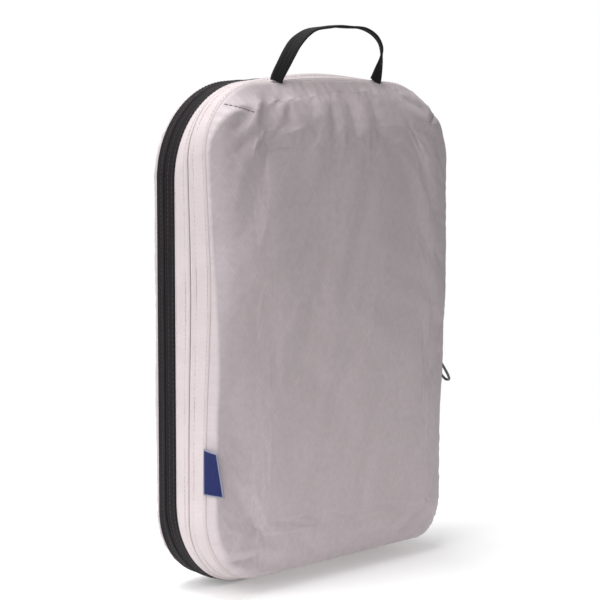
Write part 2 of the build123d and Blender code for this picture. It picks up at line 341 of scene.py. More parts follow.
# ---------------- materials
class Graph:
    """Short names for building one material's nodes."""

    def __init__(self, name):
        self.mat = bpy.data.materials.new(name)
        self.mat.use_nodes = True
        self.nodes, self.links = self.mat.node_tree.nodes, self.mat.node_tree.links
        self.nodes.clear()
        self.out = self.nodes.new("ShaderNodeOutputMaterial")
        self.shader = self.nodes.new("ShaderNodeBsdfPrincipled")
        self.links.new(self.shader.outputs[0], self.out.inputs[0])

    def value(self, socket, v):
        if isinstance(v, (int, float)):
            socket.default_value = v
        elif isinstance(v, tuple):
            socket.default_value = (*v, 1.0) if len(v) == 3 and len(socket.default_value) == 4 else v
        else:
            self.links.new(v, socket)

    def math(self, op, a, b=0.0, c=None):
        n = self.nodes.new("ShaderNodeMath")
        n.operation = op
        for i, v in enumerate((a, b) if c is None else (a, b, c)):
            self.value(n.inputs[i], v)
        return n.outputs[0]

    def uv(self):
        n = self.nodes.new("ShaderNodeUVMap")
        n.uv_map = "UVMap"
        return n.outputs[0]

    def coords(self):
        return self.nodes.new("ShaderNodeTexCoord").outputs["Object"]

    def split(self, vector):
        n = self.nodes.new("ShaderNodeSeparateXYZ")
        self.value(n.inputs[0], vector)
        return n.outputs

    def noise(self, vector, scale, detail=2.0, rough=0.5):
        n = self.nodes.new("ShaderNodeTexNoise")
        self.value(n.inputs["Vector"], vector)
        self.value(n.inputs["Scale"], scale)
        self.value(n.inputs["Detail"], detail)
        self.value(n.inputs["Roughness"], rough)
        return n.outputs[0]

    def wave(self, u, pitch):
        """0 to 1 sine along a coordinate in metres."""
        turn = self.math("MULTIPLY", u, TAU / pitch)
        return self.math("MULTIPLY_ADD", self.math("SINE", turn), 0.5, 0.5)

    def zigzag(self, turns):
        """0.5 down to 0 and back in each whole turn."""
        return self.math("ABSOLUTE", self.math("SUBTRACT", self.math("FRACT", turns), 0.5))

    def ramp(self, fac, stops):
        n = self.nodes.new("ShaderNodeValToRGB")
        self.value(n.inputs[0], fac)
        while len(n.color_ramp.elements) < len(stops):
            n.color_ramp.elements.new(0.5)
        for e, (pos, colour) in zip(n.color_ramp.elements, stops):
            e.position = pos
            e.color = (*colour, 1.0)
        return n.outputs[0]

    def mottle(self, fac, colour, low, high, end=0.7):
        """The colour, from low to high times as bright as fac goes from 0.3 to end."""
        return self.ramp(fac, [(0.3, tint(colour, low)), (end, tint(colour, high))])

    def span(self, value, low, high, to_low=0.0, to_high=1.0):
        n = self.nodes.new("ShaderNodeMapRange")
        self.value(n.inputs["Value"], value)
        for key, v in (("From Min", low), ("From Max", high), ("To Min", to_low), ("To Max", to_high)):
            self.value(n.inputs[key], v)
        return n.outputs[0]

    def mix(self, fac, a, b):
        n = self.nodes.new("ShaderNodeMix")
        n.data_type = "RGBA"
        self.value(n.inputs[0], fac)
        self.value(n.inputs[6], a)
        self.value(n.inputs[7], b)
        return n.outputs[2]

    def bump(self, height, strength, distance):
        n = self.nodes.new("ShaderNodeBump")
        n.inputs["Strength"].default_value = strength
        n.inputs["Distance"].default_value = distance
        self.value(n.inputs["Height"], height)
        self.links.new(n.outputs[0], self.shader.inputs["Normal"])

    def set(self, **values):
        for key, v in values.items():
            self.value(self.shader.inputs[key.replace("_", " ")], v)


def tint(colour, factor):
    return tuple(min(1.0, c * factor) for c in colour)


def ripstop(name, colour, grid=1.0):
    """Coated ripstop: fine weave, a faint diamond grid of thicker threads, and small coating creases,
    painted darker as shade in them.
    """
    g = Graph(name)
    u, v, _ = g.split(g.uv())
    # diamond grid, 18 mm wide and 27 mm tall
    lines = []
    for sign in (1, -1):
        k = g.math("MULTIPLY_ADD", v, sign / 0.027, g.math("MULTIPLY", u, 1 / 0.018))
        lines.append(g.span(g.zigzag(g.math("ADD", k, 100.0)), 0.045, 0.012))
    line = g.math("MAXIMUM", lines[0], lines[1])
    weave = g.math("MULTIPLY", g.wave(u, 0.0007), g.wave(v, 0.0007))
    blotch = g.noise(g.uv(), 26.0, 3.0, 0.55)
    crease = g.noise(g.uv(), 210.0, 5.0, 0.62)
    fade = g.noise(g.uv(), 9.0, 2.0)
    strength = g.span(fade, 0.38, 0.62, 0.25 * grid, 1.0 * grid)
    base = g.mottle(blotch, colour, 0.965, 1.035, end=0.72)
    base = g.mix(g.math("MULTIPLY", line, g.math("MULTIPLY", strength, 0.30)), base, tint(colour, 1.2))
    base = g.mix(g.span(weave, 0.2, 0.9, 0.0, 0.10), base, tint(colour, 0.80))
    # painted shade: the base colour darkens by up to a quarter where the small creases are
    base = g.mix(g.span(crease, 0.38, 0.66, 0.0, 0.26), base, tint(colour, 0.70))
    rough = g.span(crease, 0.3, 0.7, 0.50, 0.64)
    height = g.math("MULTIPLY_ADD", line, 0.2, g.math("MULTIPLY", weave, 0.22))
    height = g.math("MULTIPLY_ADD", crease, 0.55, height)
    g.set(Base_Color=base, Roughness=rough)
    g.set(Specular_IOR_Level=0.32, Sheen_Weight=0.12, Sheen_Roughness=0.45)
    g.bump(height, 0.75, 0.0003)
    return g.mat


def tape_cloth(name, colour, pitch=0.00085, sheen=0.2, contrast=0.12, shine=0.25):
    """Woven zipper tape: ribs across it, a herringbone tint along it, and a little fuzz."""
    g = Graph(name)
    u, v, _ = g.split(g.uv())
    rib = g.wave(u, pitch)
    slant = g.zigzag(g.math("MULTIPLY", v, 1 / 0.0036))
    herring = g.wave(g.math("ADD", u, g.math("MULTIPLY", slant, 0.0030)), 0.0017)
    fuzz = g.noise(g.uv(), 900.0, 3.0, 0.6)
    blotch = g.noise(g.uv(), 45.0, 3.0, 0.5)
    base = g.mottle(blotch, colour, 0.96, 1.03)
    base = g.mix(g.math("MULTIPLY", rib, contrast), base, tint(colour, 0.55))
    base = g.mix(g.math("MULTIPLY", herring, contrast * 0.8), base, tint(colour, 0.7))
    height = g.math("MULTIPLY_ADD", herring, 0.4, g.math("MULTIPLY", rib, 0.8))
    height = g.math("MULTIPLY_ADD", fuzz, 0.35, height)
    g.set(Base_Color=base, Roughness=g.span(fuzz, 0.3, 0.7, 0.68, 0.85))
    g.set(Specular_IOR_Level=shine, Sheen_Weight=sheen, Sheen_Roughness=0.5)
    g.bump(height, 0.6, 0.0002)
    return g.mat


def webbing(name, colour):
    """Narrow webbing: chevron ribs along its length."""
    g = Graph(name)
    u, v, _ = g.split(g.uv())
    slant = g.zigzag(g.math("MULTIPLY", v, 1 / 0.004))
    rib = g.wave(g.math("ADD", u, g.math("MULTIPLY", slant, 0.0032)), 0.0016)
    cross = g.wave(v, 0.0008)
    fuzz = g.noise(g.coords(), 1100.0, 3.0, 0.65)
    blotch = g.noise(g.coords(), 70.0, 2.0)
    base = g.mottle(blotch, colour, 0.85, 1.2)
    base = g.mix(g.math("MULTIPLY", rib, 0.35), base, tint(colour, 1.9))
    height = g.math("MULTIPLY_ADD", cross, 0.25, rib)
    height = g.math("MULTIPLY_ADD", fuzz, 0.4, height)
    g.set(Base_Color=base, Roughness=g.span(fuzz, 0.3, 0.7, 0.6, 0.82))
    g.set(Specular_IOR_Level=0.2, Sheen_Weight=0.04, Sheen_Roughness=0.4)
    g.bump(height, 0.7, 0.0003)
    return g.mat


def coil_plastic(name, colour):
    """Moulded nylon coil, finely grained and slightly blotched."""
    g = Graph(name)
    grain = g.noise(g.coords(), 900.0, 3.0)
    blotch = g.noise(g.coords(), 120.0, 2.0)
    base = g.mottle(blotch, colour, 0.85, 1.15)
    g.set(Base_Color=base, Roughness=g.span(grain, 0.3, 0.7, 0.35, 0.5))
    g.bump(grain, 0.25, 0.0001)
    return g.mat


def metal(name, colour, rough=0.16, dark=False):
    """Plated zinc or steel with fine drag marks and a little tarnish."""
    g = Graph(name)
    scratch = g.noise(g.coords(), 1500.0, 4.0, 0.7)
    smear = g.noise(g.coords(), 160.0, 3.0, 0.6)
    base = g.mottle(smear, colour, 0.82, 1.12)
    g.set(Base_Color=base, Roughness=g.span(smear, 0.3, 0.7, rough, rough + 0.16))
    g.set(Metallic=0.35 if dark else 1.0)
    g.bump(scratch, 0.18, 0.00005)
    return g.mat


def thread(name, colour):
    g = Graph(name)
    twist = g.noise(g.coords(), 2600.0, 2.0)
    blotch = g.noise(g.coords(), 90.0, 2.0)
    base = g.mottle(blotch, colour, 0.9, 1.08)
    g.set(Base_Color=base, Roughness=g.span(twist, 0.3, 0.7, 0.5, 0.7), Sheen_Weight=0.2)
    g.bump(twist, 0.4, 0.0001)
    return g.mat


def woven_label(name, colour, edge):
    """Damask label: a plain blue field inside a thin pale border."""
    g = Graph(name)
    u, v, _ = g.split(g.uv())
    du = g.math("SUBTRACT", 0.5, g.math("ABSOLUTE", g.math("SUBTRACT", u, 0.5)))
    dv = g.math("SUBTRACT", 0.5, g.math("ABSOLUTE", g.math("SUBTRACT", v, 0.5)))
    near = g.math("MINIMUM", g.math("MULTIPLY", du, 32.0), g.math("MULTIPLY", dv, 14.5))
    border = g.span(near, 1.0, 0.72)
    weave = g.math("MULTIPLY", g.wave(u, 0.014), g.wave(v, 0.03))
    blotch = g.noise(g.uv(), 9.0, 3.0)
    field = g.mottle(blotch, colour, 0.85, 1.15)
    field = g.mix(g.math("MULTIPLY", weave, 0.3), field, tint(colour, 1.8))
    g.set(Base_Color=g.mix(border, field, edge), Roughness=g.span(weave, 0, 1, 0.55, 0.7))
    g.set(Specular_IOR_Level=0.2)
    g.bump(weave, 0.5, 0.00015)
    return g.mat


FABRIC = (0.545, 0.478, 0.498)
LIGHT = (0.62, 0.545, 0.555)
BLACK = (0.0125, 0.010, 0.012)
M_PANEL = ripstop("ripstop_light", FABRIC)
M_GUSSET = ripstop("ripstop_gusset", tint(FABRIC, 1.04), 0.8)
M_TAPE_L = tape_cloth("zip_tape_light", LIGHT, contrast=0.10)
M_TAPE_B = tape_cloth("zip_tape_black", BLACK, sheen=0.03, contrast=0.3, shine=0.16)
M_BIND = tape_cloth("binding_light", tint(LIGHT, 0.86), pitch=0.0012, contrast=0.16)
M_WEB = webbing("webbing_black", (0.011, 0.010, 0.011))
M_COIL_G = coil_plastic("coil_grey", (0.30, 0.27, 0.28))
M_COIL_B = coil_plastic("coil_black", (0.022, 0.020, 0.021))
M_METAL = metal("metal_bright", (0.30, 0.30, 0.31))
# the pull's chrome wire is given a dark colour: a painted reflection of dark surroundings
M_WIRE_DARK_REFLECTION = metal("metal_wire_painted_reflection", (0.10, 0.10, 0.10), 0.08)
M_METAL_D = metal("metal_dark", (0.045, 0.045, 0.05), 0.32, dark=True)
M_THREAD_L = thread("thread_light", tint(LIGHT, 0.94))
M_THREAD_B = thread("thread_black", (0.013, 0.012, 0.013))
# the darts' stitching thread is made dark: real stitching, and painted shade along their folds
M_DART_THREAD_SHADE = thread("thread_seam_painted_shade", tint(FABRIC, 0.36))
M_LABEL = woven_label("label_blue", (0.009, 0.015, 0.088), (0.27, 0.28, 0.36))

# ---------------- front and back cloth shells
CLOTH = 0.45 * MM
WALL_STEPS, TURN_STEPS, FACE_STEPS = 6, 10, 12
REACH = 32 * MM  # inset where the rings round the edge give way to the face's own grid
SEAM_DIP, DIP_WIDTH = 0.9 * MM, 0.8 * MM  # how far the cloth turns down into a seam, and over what width
SETTLE_FRAMES = 18
SPARE = (-0.005, -0.028)  # the cloth's spare length, least and most
PRESSURE = 0.8
MOST_MOVE = 5 * MM


def by_side(n, left, right, top, bottom):
    """One value for each sample, mixed from the four sides by which way the sample faces."""
    x, z = n[:, 0], n[:, 1]
    return left * np.where(x < 0, x, 0) ** 2 + right * np.where(x > 0, x, 0) ** 2 + (
        top * np.where(z > 0, z, 0) ** 2 + bottom * np.where(z < 0, z, 0) ** 2
    )


def cloth_path(lean, wall, radius, rise):
    """Inset, depth and heading of a panel's section: a wall, a turn, then the face easing flat."""
    lean, wall, radius, rise = (np.asarray(v, float)[:, None] for v in (lean, wall, radius, rise))
    turn = np.full_like(lean, math.radians(72))
    for _ in range(8):
        inset_t = wall * np.sin(lean) + radius * (np.cos(lean) - np.cos(turn))
        depth_t = wall * np.cos(lean) + radius * (np.sin(turn) - np.sin(lean))
        slope = np.clip(2 * (rise - depth_t) / (REACH - inset_t), 0.02, 1.5)
        turn = np.maximum(math.pi / 2 - np.arctan(slope), lean + 0.05)
    u = np.linspace(0, 1, WALL_STEPS + 1)[None] ** 1.8
    angle = lean + (turn - lean) * np.linspace(0, 1, TURN_STEPS + 1)[None, 1:]
    v = np.linspace(0, 1, FACE_STEPS + 1)[None, 1:]
    turn_inset = wall * np.sin(lean) + radius * (np.cos(lean) - np.cos(angle))
    turn_depth = wall * np.cos(lean) + radius * (np.sin(angle) - np.sin(lean))
    inset = np.concatenate([wall * u * np.sin(lean), turn_inset, inset_t + (REACH - inset_t) * v], 1)
    ease = depth_t + (rise - depth_t) * (1 - (1 - v) ** 2)
    depth = np.concatenate([wall * u * np.cos(lean), turn_depth, ease], 1)
    heading = np.concatenate([lean + 0 * u, angle, math.pi / 2 - np.arctan(slope * (1 - v))], 1)
    return inset, depth, heading


def coons(edge, a, b):
    """A grid of (a + 1) by (b + 1) points inside a closed edge."""
    bottom, right = edge[0 : a + 1], edge[a : a + b + 1]
    top = edge[a + b : 2 * a + b + 1][::-1]
    left = np.concatenate([edge[2 * a + b :], edge[:1]])[::-1]
    u = np.linspace(0, 1, a + 1)[:, None, None]
    v = np.linspace(0, 1, b + 1)[None, :, None]
    ruled = (1 - v) * bottom[:, None] + v * top[:, None] + (1 - u) * left[None] + u * right[None]
    low = (1 - u) * (1 - v) * edge[0] + u * (1 - v) * edge[a]
    corners = low + u * v * edge[a + b] + (1 - u) * v * edge[2 * a + b]
    return ruled - corners


def seam_puckers(line, path, seed):
    """How far the cloth stands out near its seam: puckers square to it, and folds that reach further."""
    corner = smooth(0.15, 0.6, np.minimum(np.abs(line.normals[:, 0:1]), np.abs(line.normals[:, 1:2])))
    near = np.exp(-((path / (9 * MM)) ** 1.3)) * smooth(0, 2.5 * MM, path)
    far = np.exp(-((path / (26 * MM)) ** 1.5)) * smooth(1 * MM, 10 * MM, path)
    pucker = wave_noise(line.run, seed, [0.0075, 0.011, 0.017], line.length)[:, None]
    patches = 0.55 + 0.45 * wave_noise(line.run, seed + 3, [0.09, 0.16], line.length)[:, None]
    fold = wave_noise(line.run, seed + 5, [0.022, 0.034, 0.05], line.length)[:, None]
    puckers = 0.34 * MM * near * pucker * (0.6 * patches + corner)
    return puckers + 0.5 * MM * far * fold * (0.35 + 1.1 * corner)


def face_index(line, steps):
    """Vertex numbers over the face's grid, and which are new. Its edge is each section's last point."""
    a, b = line.across, line.upward
    edge = np.arange(len(line.run)) * steps + steps - 1
    index = np.full((a + 1, b + 1), -1)
    index[:, 0] = edge[0 : a + 1]
    index[a, :] = edge[a : a + b + 1]
    index[:, b] = edge[a + b : 2 * a + b + 1][::-1]
    index[0, :] = np.concatenate([edge[2 * a + b :], edge[:1]])[::-1]
    inner = index < 0
    index[inner] = len(line.run) * steps + np.arange(inner.sum())
    return index, inner


def shell(name, seam_y, sign, section, dome, seed, gathers, hold):
    """A cloth panel whose edge rises from the seam, turns over and crosses the face.

    sign is -1 for the front, which faces -Y, and 1 for the back. section is cloth_path's result for each
    sample, and hold is how far from the seam the cloth can't move.
    """
    line = FINE
    inset, depth, heading = section
    step = np.hypot(np.diff(inset, axis=1), np.diff(depth, axis=1))
    path = np.concatenate([np.zeros((len(line.run), 1)), np.cumsum(step, 1)], 1)
    seam = place(line, [seam_y], np.zeros((1, 1)))[:, 0]
    push = seam_puckers(line, path, seed)
    out = -inset + push * np.cos(heading) - SEAM_DIP * np.exp(-((path / DIP_WIDTH) ** 2))
    y = depth + push * np.sin(heading)
    nx, nz = line.normals[:, 0:1], line.normals[:, 1:2]
    ring = np.stack([seam[:, 0:1] + nx * out, seam[:, 1:2] + sign * y, seam[:, 2:3] + nz * out], -1)
    flat = np.stack([seam[:, 0:1] - nx * inset, seam[:, 2:3] - nz * inset], -1)
    steps = ring.shape[1]
    index, inner = face_index(line, steps)
    added = inner.sum()
    quads = np.stack([index[:-1, :-1], index[1:, :-1], index[1:, 1:], index[:-1, 1:]], -1).reshape(-1, 4)
    faces = np.concatenate([grid_faces(len(line.run), steps, True, False), quads])
    verts = np.concatenate([ring.reshape(-1, 3), coons(ring[:, -1], line.across, line.upward)[inner]])
    uvs = np.concatenate([flat.reshape(-1, 2), coons(flat[:, -1], line.across, line.upward)[inner]])
    free = np.concatenate([smooth(0, 14 * MM, path).ravel(), np.ones(added)])
    x, z = verts[:, 0], verts[:, 2]
    low, high = seam[:, 2].min(), seam[:, 2].max()
    across, upward = x / HALF_W, (2 * z - low - high) / (high - low)
    push = dome * np.clip(1 - across**2, 0, 1) * np.clip(1 - upward**2, 0, 1)
    push = push + 0.6 * MM * noise2(x, z, seed + 11, 95 * MM)
    push = push + 0.2 * MM * noise2(x, z, seed + 12, 38 * MM)
    verts[:, 1] += sign * push * free
    if sign > 0:
        faces = faces[:, ::-1]
    panel = new_object(name, verts, faces, uvs, M_PANEL)
    rim = np.concatenate([path.ravel(), np.full(added, 1.0)])
    even_out(panel, rim > 20 * MM, 14)
    verts = positions(panel.data)
    verts[:, 1] += sign * gathers(x, z) * free
    panel.data.vertices.foreach_set("co", verts.ravel())
    past_hold = rim - np.concatenate([np.repeat(hold, steps), np.zeros(added)])
    drape(panel, HALF_W - np.abs(x), np.minimum(z - low, high - z), z, past_hold)
    return panel


def drape(panel, side_x, side_z, z, past_hold):
    """Lets a panel settle as cloth, most at its corners and below its top seam.

    side_x and side_z are how far each point is inside the panel, and past_hold how far from the held rim.
    """
    near_corner = np.exp(-((np.hypot(side_x, side_z) / (62 * MM)) ** 2))
    near_top = smooth(0.74 * HEIGHT, 0.92 * HEIGHT, z)
    near_edge = smooth(38 * MM, 12 * MM, np.minimum(side_x, side_z))
    held = np.clip(1 - past_hold / (8 * MM), 0.04, 1)
    loose = np.clip(0.25 + 0.75 * near_corner + 0.45 * near_top, 0, 1)
    share = np.clip(0.8 + 0.5 * near_corner + 0.4 * near_top + 0.2 * near_edge, 0, 1.3)
    settle(panel, held, loose, share)
    even_out(panel, np.abs(np.minimum(side_x, side_z) - REACH) < 6 * MM, 4)


def even_out(obj, free, rounds):
    """Smooths a panel's depth at its free points."""
    bm = bmesh.new()
    bm.from_mesh(obj.data)
    bm.verts.ensure_lookup_table()
    chosen = [bm.verts[i] for i in np.nonzero(free)[0]]
    for _ in range(rounds):
        bmesh.ops.smooth_vert(bm, verts=chosen, factor=0.5, use_axis_y=True)
    bm.to_mesh(obj.data)
    bm.free()


def positions(mesh):
    flat = np.zeros(len(mesh.vertices) * 3)
    mesh.vertices.foreach_get("co", flat)
    return flat.reshape(-1, 3)


def weigh(obj, name, weights):
    group = obj.vertex_groups.new(name=name)
    steps = np.round(weights, 2)
    for step in np.unique(steps):
        group.add(np.nonzero(steps == step)[0].tolist(), float(step), "REPLACE")


def settle(obj, held, loose, share):
    """Simulates a panel cut larger than its frame and keeps a share of how far each point moves.

    held is 1 where a point can't move and small where only the packing steadies it. loose is 1 where the
    cloth has the most spare length.
    """
    before = positions(obj.data)
    weigh(obj, "held", held)
    weigh(obj, "loose", loose)
    cloth = obj.modifiers.new("settle", "CLOTH")
    stuff = cloth.settings
    stuff.quality = 5
    stuff.mass = 0.12
    stuff.tension_stiffness = stuff.compression_stiffness = 20
    stuff.shear_stiffness = 6
    stuff.bending_stiffness = 0.08
    stuff.tension_damping = stuff.compression_damping = stuff.shear_damping = 5
    stuff.air_damping = 2
    stuff.vertex_group_mass = "held"
    stuff.pin_stiffness = 1
    stuff.vertex_group_shrink = "loose"
    stuff.shrink_min, stuff.shrink_max = SPARE
    stuff.use_pressure = True
    stuff.uniform_pressure_force = PRESSURE
    stuff.effector_weights.gravity = 0
    cloth.collision_settings.use_collision = False
    cloth.collision_settings.use_self_collision = False
    cloth.point_cache.frame_start, cloth.point_cache.frame_end = 1, SETTLE_FRAMES
    for frame_number in range(1, SETTLE_FRAMES + 1):
        bpy.context.scene.frame_set(frame_number)
    settled = obj.evaluated_get(bpy.context.evaluated_depsgraph_get())
    move = positions(settled.data) - before
    obj.modifiers.remove(cloth)
    bpy.context.scene.frame_set(1)
    length = np.linalg.norm(move, axis=1, keepdims=True)
    move *= share[:, None] * np.minimum(1, MOST_MOVE / np.maximum(length, 1e-9))
    obj.data.vertices.foreach_set("co", (before + move).ravel())
    obj.data.update()


def thicken(obj):
    solid = obj.modifiers.new("cloth thickness", "SOLIDIFY")
    solid.thickness = CLOTH
    solid.offset = -1
    return obj


def crease(x, z, start, end, width, amount, taper=True):
    """A straight fold with a fairly sharp crest between two points. A positive amount stands out."""
    ax, az, bx, bz = (v * MM for v in (*start, *end))
    dx, dz = bx - ax, bz - az
    t = np.clip(((x - ax) * dx + (z - az) * dz) / (dx * dx + dz * dz), 0, 1)
    dist = np.hypot(x - ax - t * dx, z - az - t * dz)
    fade = np.sin(np.pi * np.clip(t, 0.08, 0.92)) if taper else 1 - 0.7 * t
    return amount * MM * np.exp(-((dist / (width * MM)) ** 1.35)) * fade


FOLDS = [  # start and end on the face, half width, and height, mm
    ((-52, 350), (-45, 306), 7, 1.3),
    ((-37, 350), (-31, 312), 6, -1.1),
    ((-24, 350), (-19, 306), 6, 1.0),
    ((-12, 346), (-13, 318), 4.5, -1.9),
    ((-3, 344), (-6, 304), 5, 1.7),
    ((8.4, 347), (9, 320), 5, -2.0),
    ((19, 350), (24, 300), 6.5, 1.5),
    ((34, 348), (36, 312), 5, -1.2),
    ((44, 344), (46, 314), 6, 0.9),
    ((60, 350), (66, 310), 7, -0.7),
    ((66, 348), (103, 336), 4, -1.9),
    ((60, 341), (100, 326), 5, 1.6),
    ((80, 327), (109, 314), 4.5, -1.5),
    ((72, 322), (104, 302), 6, 1.1),
    ((-96, 332), (-78, 349), 4, 2.6),
    ((-83, 339), (-104, 318), 4, 3.2),
    ((-93, 336), (-110, 326), 3.5, -2.6),
    ((-86, 330), (-108, 310), 4, -2.6),
    ((-80, 327), (-98, 304), 5, 2.0),
    ((-76, 344), (-70, 326), 5, -1.6),
    ((-66, 344), (-58, 330), 5, 1.6),
    ((-118, 26.5), (-84, 28), 3.4, -2.6),
    ((-114, 35), (-84, 33), 4, 2.0),
    ((-106, 20), (-80, 17), 4, 1.2),
    ((90, 127), (111, 152), 4.5, -1.5),
    ((84, 132), (103, 160), 5, 1.1),
    ((82, 66), (104, 95), 5, -1.1),
    ((77, 74), (98, 103), 5, 0.9),
    ((66, 22), (98, 40), 5, -1.1),
    ((60, 32), (92, 52), 6, 0.9),
]
DARTS = [  # sewn from the seam's upper corners into the face, mm
    ((-110.7, 344.4), (-91.0, 338.2)),
    ((112.0, 336.0), (97.0, 329.0)),
]


def front_folds(x, z):
    """Soft folds below the top seam, creases at the corners and the right edge, and the two darts."""
    push = sum(crease(x, z, *fold) for fold in FOLDS)
    for start, end in DARTS:
        lower = tuple(np.array(start) + (1.5, -5)), tuple(np.array(end) + (1.5, -5))
        upper = tuple(np.array(start) + (-1.5, 5)), tuple(np.array(end) + (-1.5, 5))
        push = push + crease(x, z, start, end, 1.8, -2.2, False)
        push = push + crease(x, z, *lower, 5, 1.3, False) + crease(x, z, *upper, 5, 1.2, False)
    return push


def back_folds(x, z):
    return crease(x, z, (-30, 350), (-26, 300), 8, 0.8) + crease(x, z, (22, 350), (28, 290), 9, -0.8)


n = FINE.normals
height = FINE.spots[:, 1]
low_down = smooth(0.66 * HEIGHT, 0.36 * HEIGHT, height)
left_wall = 1.4 + 6.6 * low_down
right_lean = 8 + 30 * smooth(0.45 * HEIGHT, 0.30 * HEIGHT, height)
right_wall = 1.0 + 1.6 * smooth(0.42 * HEIGHT, 0.58 * HEIGHT, height)
shoulder = smooth(0.45 * HALF_W, -0.45 * HALF_W, FINE.spots[:, 0])  # the top's shoulder widens to the left
front_section = cloth_path(
    np.radians(by_side(n, 0, right_lean, 52 + 6 * shoulder, 18)),
    by_side(n, left_wall, right_wall, 8.0 + 7.0 * shoulder, 2.0) * MM,
    by_side(n, 2.6, 7.0, 9.0, 9.0) * MM,
    by_side(n, 11.6, 12.5, 12.5, 12.5) * MM,
)
SEAM_CLEAR = 0.1 * MM


def sewn_dart(name, panel, start, end, body):
    """The stitched line of a dart, laid on a panel's face between two points given in X and Z, mm. Its
    thread is dark and its stitches nearly meet: painted shade along the dart's fold.
    """
    steps = np.linspace(0.06, 1, 24)
    path, normal = [], []
    for t in steps:
        x, z = ((1 - t) * start[0] + t * end[0]) * MM, ((1 - t) * start[1] + t * end[1]) * MM
        hit, place_at, facing, _ = panel.ray_cast((x, FRONT_FACE - 50 * MM, z), (0, 1, 0))
        if hit:
            path.append(place_at)
            normal.append(facing)
    size = {"stitch": 3.0 * MM, "gap": 0.25 * MM, "radius": 0.34 * MM}
    row = stitch_row(name, np.array(path), np.array(normal), M_DART_THREAD_SHADE, **size, closed=False)
    belongs(row, body)


FRONT_DOME, BACK_DOME = 7.5 * MM, 5.0 * MM  # how far the middle of each face stands out past its edge
front_y, back_y = SEAM_F - SEAM_CLEAR, SEAM_R + SEAM_CLEAR
front_hold, back_hold = by_side(n, 13, 3, 2, 3) * MM, np.full(len(n), 2 * MM)
front = shell("front_panel_cloth", front_y, -1, front_section, FRONT_DOME, 11, front_folds, front_hold)
bpy.context.view_layer.update()
for number, (start, end) in enumerate(DARTS):
    sewn_dart(f"front_dart_{number + 1}", front, start, end, "front_shell")
belongs(thicken(front), "front_shell", "front_panel")

back_section = cloth_path(
    np.radians(by_side(n, 30, 30, 35, 20)),
    np.full(len(n), 1.0 * MM),
    by_side(n, 20, 20, 18, 12) * MM,
    np.full(len(n), 14.0 * MM),
)
back = shell("back_panel_cloth", back_y, 1, back_section, BACK_DOME, 31, back_folds, back_hold)
belongs(thicken(back), "lid", "back_panel")

# ---------------- zipper tapes and the hinge
TAPE = 0.8 * MM
SLIT = 0.3 * MM  # from the middle of a zipper to the tape's folded edge
TAPE_COLUMNS = 17
around = round_to_hinge(FINE)
ZIPS = {  # middle line, height of the bead beside it, name in the frame, and samples of its tapes
    "light": (COMP_Y, 0.35, "compression_zip", None),
    "black": (MAIN_Y, 0.30, "main_zip", around),
}
HALVES = [  # zip, half, its seam, its side of the middle line, and the body it is sewn to
    ("light", "front", SEAM_F, -1, "front_shell"),
    ("light", "rear", SEAM_M, 1, "middle_band"),
    ("black", "front", SEAM_M, -1, "middle_band"),
    ("black", "rear", SEAM_R, 1, "lid"),
]
TAPE_CLOTH = {"light": M_TAPE_L, "black": M_TAPE_B}
TAPE_SEEDS = [41, 43, 47, 53]


def tape_profile(line, ys, edge, bead, seed):
    """Outward offsets of a tape. Its folded edge rolls in at the zipper, and it ripples between seams."""
    t = (ys - ys[0]) / (ys[-1] - ys[0])
    inside = np.sin(np.pi * t)[None]
    ripple = 0.22 * wave_noise(line.run, seed, [0.035, 0.06, 0.11], line.length)[:, None]
    pucker = 0.10 * wave_noise(line.run, seed + 7, [0.006, 0.0085], line.length)[:, None]
    near = np.abs(ys - edge)
    # the tape lies flat where the sliders run, on the right wall
    taut = smooth(0.8, 0.99, line.normals[:, 0])[:, None] * smooth(9 * MM, 5 * MM, near)[None]
    groove = 0.22 * bump(near, 4.2 * MM, 0.5 * MM)
    roll = bead * (bump(near, 1.7 * MM, 1.1 * MM) - 1.8 * bump(near, 0.0, 0.5 * MM)) - groove
    tuck = -0.9 * bump(np.minimum(ys - ys.min(), ys.max() - ys) + 3 * MM * (near < 6 * MM), 0.0, 0.7 * MM)
    return ((ripple + pucker) * inside * (1 - 0.9 * taut) + (roll + tuck)[None]) * MM


for (colour, half, seam_y, side, body), seed in zip(HALVES, TAPE_SEEDS):
    middle, bead, node, keep = ZIPS[colour]
    ys = np.linspace(*sorted((seam_y, middle + side * SLIT)), TAPE_COLUMNS)
    out = tape_profile(FINE, ys, middle, bead, seed)
    tape = strip(f"{colour}_tape_{half}", FINE, ys, out, TAPE, TAPE_CLOTH[colour], keep)
    belongs(tape, body, f"{node}_{half}_tape")

hinge_rows = np.arange(len(FINE.run))[on_hinge(FINE)]
hinge_rows = np.arange(hinge_rows.min() - 1, hinge_rows.max() + 2)
HINGE_COLUMNS = 33
hinge_ys = np.linspace(SEAM_M, SEAM_R, HINGE_COLUMNS)
hinge_arch = np.sin(np.pi * np.linspace(0, 1, HINGE_COLUMNS))[None]
hinge_out = (0.25 * wave_noise(FINE.run, 61, [0.02, 0.04])[:, None] * hinge_arch - 0.3) * MM
hinge = strip("hinge_cloth", FINE, hinge_ys, hinge_out, 0.7 * MM, M_TAPE_B, hinge_rows)
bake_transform(hinge)
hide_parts("hinge_strip", "hinge_flap")

# ---------------- zipper coils, inside the tapes
COIL_W, COIL_D, TEETH = 2.5 * MM, 1.7 * MM, 2


